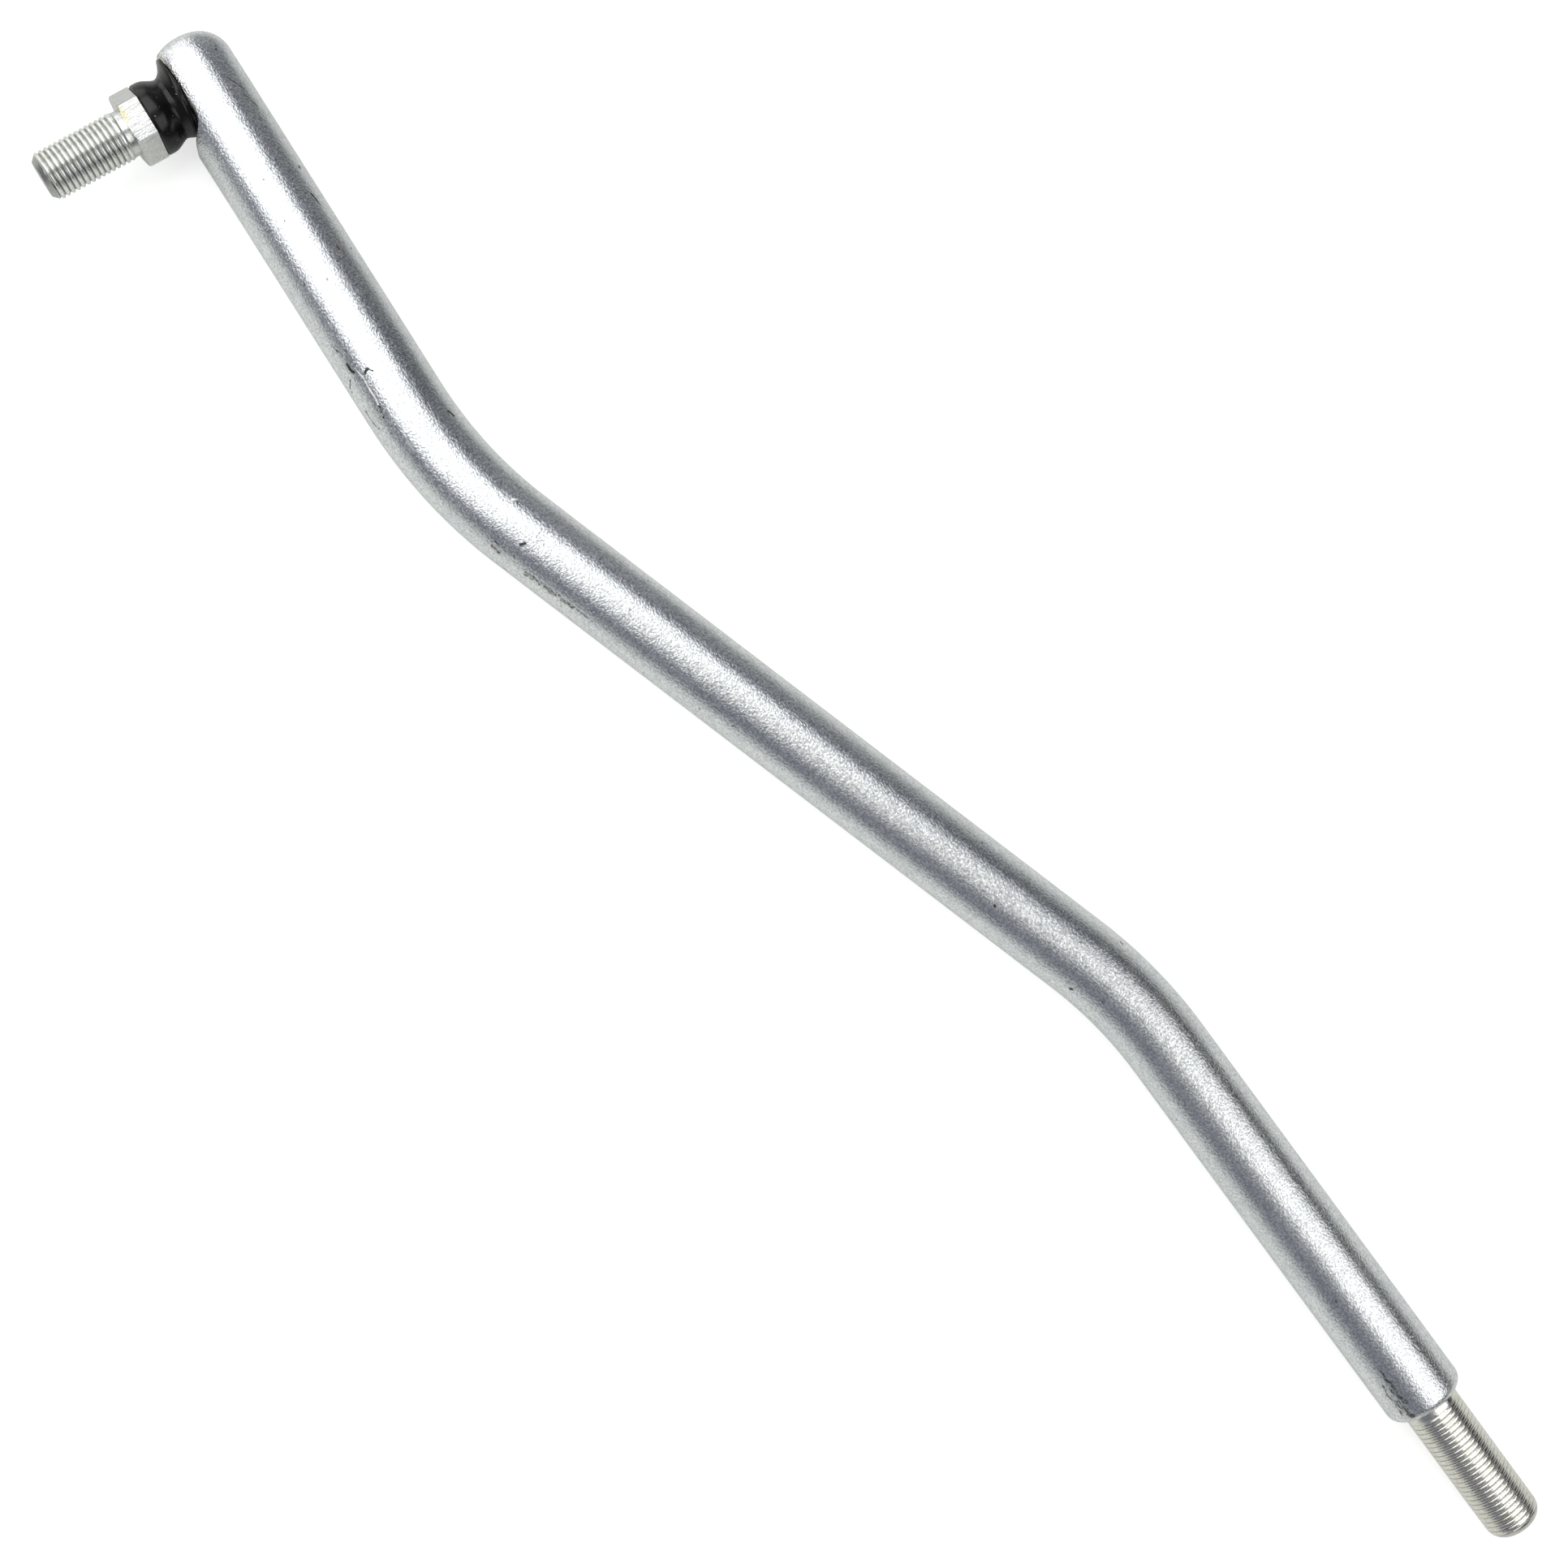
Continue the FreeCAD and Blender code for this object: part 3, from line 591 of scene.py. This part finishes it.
class Material(Nodes):
    """A material's nodes round its own shader, in object coordinates."""

    def __init__(self, name):
        self.material = bpy.data.materials.new(name)
        self.material.use_nodes = True
        super().__init__(self.material.node_tree, "Object")
        self.shader = self.tree.nodes["Principled BSDF"]

    def blotches(self, scale, detail, roughness, low, high, stretch=None):
        """Mask of the spots where a noise is above a level."""
        return self.ramp(self.noise(scale, detail, roughness, stretch), low, high)

    def bump(self, height, distance):
        node = self.add("ShaderNodeBump")
        self.put(node.inputs["Height"], height)
        self.put(node.inputs["Distance"], distance)
        self.put(node.inputs["Strength"], 1.0)
        return node.outputs["Normal"]

    def capsule(self, start, end, radius, place):
        """Mask of a stroke between two points in millimetres, soft in its outer half."""
        a, b = Vector(start) * MM, Vector(end) * MM
        line = b - a
        away = self.vector("SUBTRACT", place, tuple(a))
        part = self.vector("DOT_PRODUCT", away, tuple(line))
        part = self.math("MULTIPLY", part, 1 / line.length_squared, clamp=True)
        away = self.vector("SUBTRACT", away, self.vector("SCALE", tuple(line), scale=part))
        return self.ramp(self.vector("LENGTH", away), radius * MM, radius * 0.5 * MM)

    def strokes(self, marks, place):
        """Mask of many strokes, each (start, end, radius)."""
        mask = None
        for mark in marks:
            stroke = self.capsule(*mark, place)
            mask = stroke if mask is None else self.math("MAXIMUM", mask, stroke)
        return mask

    def wobbled(self, scale, reach):
        """The place, pushed about by a noise so that strokes have uneven edges."""
        push = self.vector("SUBTRACT", self.noise(scale, output="Color"), (0.5, 0.5, 0.5))
        return self.vector("ADD", self.place, self.vector("SCALE", push, scale=reach * MM))

    def along(self, direction):
        """Distance in metres from the ball's centre along a direction of the joint."""
        away = self.vector("SUBTRACT", self.place, tuple(ball_centre))
        return self.vector("DOT_PRODUCT", away, tuple(direction))

    def finish(self, **values):
        for key, value in values.items():
            self.put(self.shader.inputs[key.replace("_", " ")], value)
        return self.material


class Zinc(Material):
    """Bright zinc plate with a fine sparkle and soft clouds, and what is painted on it."""

    def __init__(self, name, dark, light, rough, grain, grain_depth):
        super().__init__(name)
        fine = self.noise(grain, 2.0, 0.7)
        patches = self.noise(420.0, 3.0, 0.6)
        tone = self.math("ADD", self.product(fine, 0.85), self.product(patches, 0.15))
        self.colour = self.mix(self.ramp(tone, 0.36, 0.60), dark, light)
        clouds = self.noise(60.0, 3.0, 0.55)
        self.roughness = self.ramp(clouds, 0.35, 0.65, rough - 0.015, rough + 0.03)
        self.normal = self.bump(fine, grain_depth)

    def paint(self, mask, strength, colour):
        self.colour = self.mix(self.product(mask, strength), self.colour, colour)

    def finished(self, metallic=1.0):
        return self.finish(
            Base_Color=self.colour, Roughness=self.roughness, Normal=self.normal,
            Metallic=metallic,
        )


# Wear on the bar: strokes between two points in millimetres with a radius.
BRIGHT_SCRATCHES = (
    ((-278.2, -47.4, 6.9), (-275.0, -47.4, 7.0), 0.2),
    ((-275.0, -47.4, 7.0), (-272.9, -47.5, 7.0), 0.22),
    ((-272.9, -47.5, 7.0), (-270.1, -47.9, 6.9), 0.2),
    ((-268.7, -48.3, 6.7), (-268.1, -48.5, 6.7), 0.16),
    ((-241.4, -38.5, 7.2), (-240.7, -37.3, 6.8), 0.34),
    ((-122.9, -9.4, 7.8), (-122.1, -9.6, 7.8), 0.22),
)
DARK_NICKS = (
    ((-269.6, -48.0, 6.9), (-267.8, -48.6, 6.6), 0.32),
    ((-279.7, -48.3, 6.2), (-277.7, -48.2, 6.4), 0.42),
    ((-284.7, -48.6, 5.6), (-281.5, -48.0, 6.3), 0.17),
    ((-276.2, -46.4, 7.4), (-276.5, -45.5, 7.6), 0.38),
    ((-276.5, -45.5, 7.6), (-275.7, -45.0, 7.8), 0.26),
    ((-277.2, -49.6, 5.1), (-276.4, -50.5, 3.8), 0.24),
    ((-271.2, -50.8, 4.0), (-267.8, -50.9, 4.2), 0.22),
    ((-261.8, -38.3, 5.0), (-260.6, -38.0, 4.7), 0.28),
    ((-233.6, -42.2, 7.6), (-233.4, -41.2, 7.8), 0.46),
    ((-315.2, -33.5, 3.4), (-314.9, -33.6, 3.5), 0.34),
    ((-309.4, -34.7, 4.7), (-307.1, -34.7, 4.3), 0.3),
    ((-297.4, -34.8, 3.2), (-297.1, -34.9, 3.4), 0.26),
    ((-232.5, -47.5, 2.1), (-231.8, -47.2, 2.1), 0.3),
    ((-127.0, -10.9, 7.6), (-126.7, -11.0, 7.6), 0.32),
    ((-105.6, -8.7, 5.2), (-105.2, -8.4, 5.4), 0.34),
    ((-106.8, 4.3, 3.7), (-106.2, 4.4, 3.9), 0.3),
    ((-112.6, -9.4, 5.4), (-110.6, -9.0, 5.5), 0.18),
    ((-315.9, -40.3, 7.9), (-315.8, -40.2, 7.9), 0.2),
)
HAIRLINES = (
    ((-233.4, -37.3, 7.6), (-233.1, -38.8, 7.9), 0.14),
    ((-233.1, -38.8, 7.9), (-232.1, -39.0, 7.9), 0.16),
    ((-232.1, -39.0, 7.9), (-231.6, -38.3, 7.9), 0.12),
    ((-231.2, -38.7, 7.9), (-230.0, -39.4, 7.9), 0.12),
    ((-335.4, -34.4, 6.3), (-332.1, -33.3, 5.0), 0.22),
    ((-331.1, -33.8, 5.4), (-328.6, -33.2, 4.5), 0.3),
    ((-340.6, -34.0, 5.9), (-335.0, -33.9, 5.6), 0.16),
)
DIRT = (
    ((-237.6, -45.8, 6.5), (-232.7, -44.6, 6.3), 0.3),
    ((-236.5, -46.6, 5.5), (-235.2, -46.4, 5.3), 0.7),
    ((-229.0, -44.6, 5.3), (-223.2, -42.8, 5.4), 0.85),
    ((-223.2, -42.8, 5.4), (-218.6, -41.3, 5.6), 0.7),
    ((-218.6, -41.3, 5.6), (-214.5, -40.0, 5.7), 0.4),
    ((-12.4, -4.5, 6.5), (-7.9, -4.0, 6.8), 0.45),
    ((-8.2, -4.6, 6.5), (-4.8, -3.9, 6.9), 0.7),
    ((-5.4, -5.2, 6.0), (-1.8, -4.5, 6.5), 0.7),
    ((-9.5, -5.6, 5.6), (-3.0, -5.9, 5.3), 0.35),
)
RUST_SPOTS = (((-298.1, -36.6, 5.8), (-297.9, -36.6, 5.8), 0.34),)
ROD_THREAD_SCRATCH = (((24.6, 4.5, 3.3), (25.6, 3.5, 4.3), 0.16),)

# Distances from the ball's centre in metres that place the marks, the painted shade and the
# painted highlight on the bar and the hexagon.
RIM_SHADE_HEIGHTS = (0.0040, 0.0047)
RIM_SHADE_MIDDLE, RIM_SHADE_REACH = 0.0022, (0.0078, 0.0066)
HEX_UPWARD = (-0.004, -0.005)
SCUFF_ACROSS = (0.0023, 0.0026, 0.0039, 0.0042)
STAIN_ACROSS = (-0.0030, -0.0024, -0.0001, 0.0006)
STAIN_HEIGHT, STAIN_REACH = 0.01615, (0.0006, 0.0003)


def bar_material():
    """Zinc plate with scratches, nicks, dirt, specks, and a darker yellowish rim beside the boot
    that is partly painted shade.
    """
    n = Zinc("bar_zinc_plate", (0.56, 0.59, 0.615), (0.96, 0.965, 0.965), 0.22, 2350.0, 0.00010)
    uneven = n.wobbled(900.0, 0.9)
    dirt = n.strokes(DIRT, n.wobbled(700.0, 1.6))
    n.paint(n.product(dirt, n.blotches(1500.0, 3.0, 0.7, 0.42, 0.54)), 0.85, (0.085, 0.075, 0.05))
    n.paint(n.blotches(800.0, 1.0, 0.4, 0.77, 0.80), 0.75, (0.12, 0.12, 0.11))
    n.paint(n.strokes(HAIRLINES, uneven), 0.7, (0.12, 0.11, 0.09))
    n.paint(n.strokes(RUST_SPOTS, uneven), 1.0, (0.45, 0.22, 0.08))
    n.paint(n.strokes(DARK_NICKS, uneven), 0.93, (0.015, 0.014, 0.012))
    scratches = n.strokes(BRIGHT_SCRATCHES, uneven)
    n.paint(scratches, 1.0, (1.0, 1.0, 0.96))

    # Beside the boot: a yellowish rim colour, darkened as painted shade where the bar meets the
    # boot.
    from_middle = n.math("ABSOLUTE", n.math("ADD", n.along(bar_direction), RIM_SHADE_MIDDLE))
    rim_colour_and_shade = n.product(
        n.ramp(n.along(stud_direction), *RIM_SHADE_HEIGHTS), n.ramp(from_middle, *RIM_SHADE_REACH),
        n.blotches(700.0, 3.0, 0.7, 0.38, 0.55),
    )
    n.paint(rim_colour_and_shade, 0.8, (0.42, 0.37, 0.25))
    return n.finished(metallic=n.math("SUBTRACT", 1.0, scratches, clamp=True))


def thread_material(name, dark, light, rough, axis_point, axis, crest, depth, shade, scratch=()):
    """Zinc with painted shade, and some dirt, darkening the thread's roots by their distance from
    the axis.
    """
    n = Zinc(name, dark, light, rough, 2600.0, 0.00003)
    away = n.vector("SUBTRACT", n.place, tuple(axis_point))
    off_axis = n.vector("LENGTH", n.vector("CROSS_PRODUCT", away, tuple(axis)))
    # Painted shade with some dirt: the deeper the surface lies in the thread, the darker it is
    # painted.
    root_shade_and_dirt = n.ramp(off_axis, (crest - 0.3 * depth) * MM, (crest - 0.95 * depth) * MM)
    n.paint(root_shade_and_dirt, shade, (0.07, 0.07, 0.065))
    n.paint(n.blotches(330.0, 3.0, 0.6, 0.58, 0.72), 0.35, (0.55, 0.48, 0.33))
    if scratch:
        n.paint(n.strokes(scratch, n.wobbled(900.0, 0.4)), 1.0, (1.0, 1.0, 0.98))
    return n.finished()


def stud_material():
    """Zinc of the hexagon: on the face that looks up, a painted highlight, cutting lines, a scuff
    and a stain.
    """
    n = Zinc("stud_zinc_plate", (0.56, 0.56, 0.545), (0.74, 0.735, 0.71), 0.25, 2600.0, 0.00003)
    across = n.along(bar_direction)
    upward = n.ramp(n.along(cross_direction), *HEX_UPWARD)
    # Painted highlight: the face that looks up is lightened and tinted bluish.
    n.paint(upward, 0.2, (0.85, 0.88, 0.92))
    lines = n.blotches(1.0, 1.0, 0.5, 0.5, 0.62, (3600.0, 250.0, 250.0))
    n.paint(n.product(lines, upward), 0.4, (0.25, 0.25, 0.25))
    worn = n.blotches(1.0, 2.0, 0.6, 0.46, 0.60, (2600.0, 500.0, 500.0))
    n.paint(n.product(n.band(across, *SCUFF_ACROSS), worn, upward), 0.5, (0.22, 0.24, 0.26))
    off_stain = n.math("ABSOLUTE", n.math("SUBTRACT", n.along(stud_direction), STAIN_HEIGHT))
    stain = n.product(
        n.band(across, *STAIN_ACROSS), n.ramp(off_stain, *STAIN_REACH), upward,
        n.blotches(900.0, 3.0, 0.7, 0.38, 0.52),
    )
    n.paint(stain, 0.8, (0.62, 0.55, 0.26))
    return n.finished()


def rubber_material():
    n = Material("boot_black_rubber")
    grain = n.noise(1500.0, 3.0, 0.6)
    haze = n.blotches(220.0, 3.0, 0.6, 0.45, 0.75)
    dust = n.blotches(2400.0, 1.0, 0.4, 0.755, 0.80)
    colour = n.mix(haze, (0.0025, 0.002, 0.002), (0.009, 0.007, 0.006))
    return n.finish(
        Base_Color=n.mix(dust, colour, (0.32, 0.31, 0.29)),
        Roughness=n.ramp(grain, 0.3, 0.7, 0.20, 0.28), Normal=n.bump(grain, 0.00001),
        Specular_IOR_Level=0.40,
    )


def seat_material():
    n = Material("seat_acetal")
    swirl = n.noise(260.0, 3.0, 0.5)
    return n.finish(
        Base_Color=n.mix(swirl, (0.80, 0.79, 0.74), (0.90, 0.89, 0.85)), Roughness=0.45,
        Normal=n.bump(n.noise(1400.0), 0.000006),
    )


bar_zinc, stud_zinc = bar_material(), stud_material()
stud_thread_zinc = thread_material(
    "stud_thread_zinc", (0.74, 0.75, 0.72), (0.97, 0.97, 0.93), 0.25,
    ball_centre, stud_direction, STUD_THREAD_RADIUS, STUD_THREAD_DEPTH, 0.55,
)
rod_thread_zinc = thread_material(
    "rod_thread_zinc", (0.72, 0.71, 0.66), (0.95, 0.93, 0.86), 0.19,
    (0, 0, 0), (1, 0, 0), ROD_THREAD_RADIUS, ROD_THREAD_DEPTH, 0.25, ROD_THREAD_SCRATCH,
)
ball_steel = Zinc(
    "ball_steel", (0.45, 0.45, 0.45), (0.62, 0.62, 0.62), 0.18, 1500.0, 0.000004,
).finished()
ring_steel = Zinc(
    "ring_plain_steel", (0.42, 0.42, 0.43), (0.6, 0.6, 0.62), 0.35, 1800.0, 0.000008,
).finished()

make_bar(bar_zinc)
make_rod_thread(rod_thread_zinc)
make_stud(stud_zinc, stud_thread_zinc, ball_steel)
make_boot(rubber_material())
inner_materials = {
    "ball_seat": seat_material(), "closing_ring": ring_steel, "neck_ring": ring_steel,
}
for node, material in inner_materials.items():
    for slot in frame["nodes"][node].material_slots:
        slot.material = material


# ---------------------------------------------------------------- floor, light and camera

FLOOR_Z = -BAR_RADIUS * MM
FLOOR_HALF = 3.0
LINK_CENTRE = Vector((-0.1684, -0.0292, 0.0))

floor_mesh = bpy.data.meshes.new("floor")
floor_corners = ((-1, -1), (1, -1), (1, 1), (-1, 1))
floor_mesh.from_pydata(
    [(x * FLOOR_HALF, y * FLOOR_HALF, FLOOR_Z) for x, y in floor_corners], [], [(0, 1, 2, 3)],
)
floor = bpy.data.objects.new("floor", floor_mesh)
bpy.context.scene.collection.objects.link(floor)

# White paper. Mirrored in the bar it is dim, and dark a little way off on the far side of the
# bar, more so towards the ball's end; bar_y follows the bar's bends. Distances are in metres.
CAMERA_GLOW, MIRRORED_GLOW = 0.62, 0.08
paper = Material("floor_paper")
seen = paper.add("ShaderNodeLightPath").outputs
mirrored = paper.math("MAXIMUM", seen["Is Glossy Ray"], seen["Is Transmission Ray"])
spot = paper.split(paper.place)
bar_y = paper.ramp(spot["X"], -0.25, -0.097, -0.045, 0.0)
beyond = paper.product(
    paper.ramp(paper.math("SUBTRACT", spot["Y"], bar_y), 0.012, 0.075),
    paper.ramp(spot["X"], -0.05, -0.26, 0.1, 1.0), mirrored,
)
glow = paper.math(
    "MAXIMUM", paper.product(seen["Is Camera Ray"], CAMERA_GLOW),
    paper.product(paper.math("SUBTRACT", mirrored, beyond), MIRRORED_GLOW),
)
floor_mesh.materials.append(paper.finish(
    Base_Color=paper.mix(beyond, (0.73, 0.745, 0.71), (0.08, 0.09, 0.105)),
    Roughness=0.9, Specular_IOR_Level=0.0,
    Emission_Color=(1.0, 1.0, 1.0), Emission_Strength=glow,
))

# The studio round the part: grey levels by the height of a direction, from level up to
# overhead, bluish where they are dark. One side is darker, and a bright panel stands at the
# ball's end.
WORLD_LEVELS = ((0.0, 0.60), (0.15, 0.45), (0.32, 0.19), (0.78, 0.18), (0.92, 0.38), (1.0, 0.43))
DARK_LEVEL, DARK_TINT = 0.2, (0.94, 1.0, 1.16)
DARK_SIDE, DARK_SIDE_SHARE = (0.64, 0.77, 0.0), 0.2
END_LIGHT = (1.5, 1.5, 1.5)

world = bpy.data.worlds.new("studio")
bpy.context.scene.world = world
world.use_nodes = True
world.node_tree.nodes.clear()
sky = Nodes(world.node_tree, "Generated")
direction = sky.split(sky.place)
levels = sky.add("ShaderNodeValToRGB")
sky.put(levels.inputs["Fac"], direction["Z"])
stops = levels.color_ramp.elements
while len(stops) < len(WORLD_LEVELS):
    stops.new(0.5)
for stop, (position, level) in zip(stops, WORLD_LEVELS):
    tint = DARK_TINT if level < DARK_LEVEL else (1.0, 1.0, 1.0)
    stop.position = position
    stop.color = (level * tint[0], level * tint[1], level * tint[2], 1.0)
to_dark_side = sky.vector("DOT_PRODUCT", sky.place, DARK_SIDE)
dark_side = sky.ramp(to_dark_side, 0.45, 0.75, 1.0, DARK_SIDE_SHARE)
sides = sky.mix(dark_side, (0.0, 0.0, 0.0), levels.outputs["Color"])
end_panel = sky.product(
    sky.ramp(sky.math("MULTIPLY", direction["X"], -1.0), 0.80, 0.87),
    sky.ramp(sky.math("ABSOLUTE", direction["Y"]), 0.50, 0.34),
)
background = sky.add("ShaderNodeBackground")
sky.put(background.inputs["Color"], sky.mix(end_panel, sides, END_LIGHT))
sky.put(sky.add("ShaderNodeOutputWorld").inputs["Surface"], background.outputs[0])

# Two soft boxes that shine straight down: offset from the link's centre, size and power.
SOFTBOX_HEIGHT = 1.15
SOFTBOXES = (
    ("softbox_left", -0.95, -0.03, (1.56, 1.9), 16.9),
    ("softbox_right", 1.18, 0.78, (1.69, 1.70), 12.4),
)
for name, x, y, size, power in SOFTBOXES:
    light = bpy.data.lights.new(name, "AREA")
    light.shape = "RECTANGLE"
    light.size, light.size_y = size
    light.energy = power
    lamp = bpy.data.objects.new(name, light)
    lamp.location = (LINK_CENTRE.x + x, LINK_CENTRE.y + y, SOFTBOX_HEIGHT)
    bpy.context.scene.collection.objects.link(lamp)

# Camera found from the photo: focal length and width in the photo's pixels.
SENSOR_WIDTH, FOCAL_PIXELS, PHOTO_PIXELS = 36.0, 2900.0, 1932.0
CAMERA_PLACE = (-0.18030258, -0.02929183, 0.44694232)
CAMERA_RIGHT = Vector((0.59335698, 0.80478042, 0.01599932))
CAMERA_DOWN = Vector((0.8045013, -0.59357257, 0.0211957))

camera_data = bpy.data.cameras.new("camera")
camera_data.sensor_width = SENSOR_WIDTH
camera_data.lens = FOCAL_PIXELS / PHOTO_PIXELS * SENSOR_WIDTH
camera_data.clip_start, camera_data.clip_end = 0.01, 20.0
camera = bpy.data.objects.new("camera", camera_data)
camera.matrix_world = Matrix.Translation(CAMERA_PLACE) @ Matrix(
    (CAMERA_RIGHT, -CAMERA_DOWN, CAMERA_RIGHT.cross(-CAMERA_DOWN))
).transposed().to_4x4()
bpy.context.scene.collection.objects.link(camera)
bpy.context.scene.camera = camera
bpy.context.scene.view_settings.view_transform = "Standard"
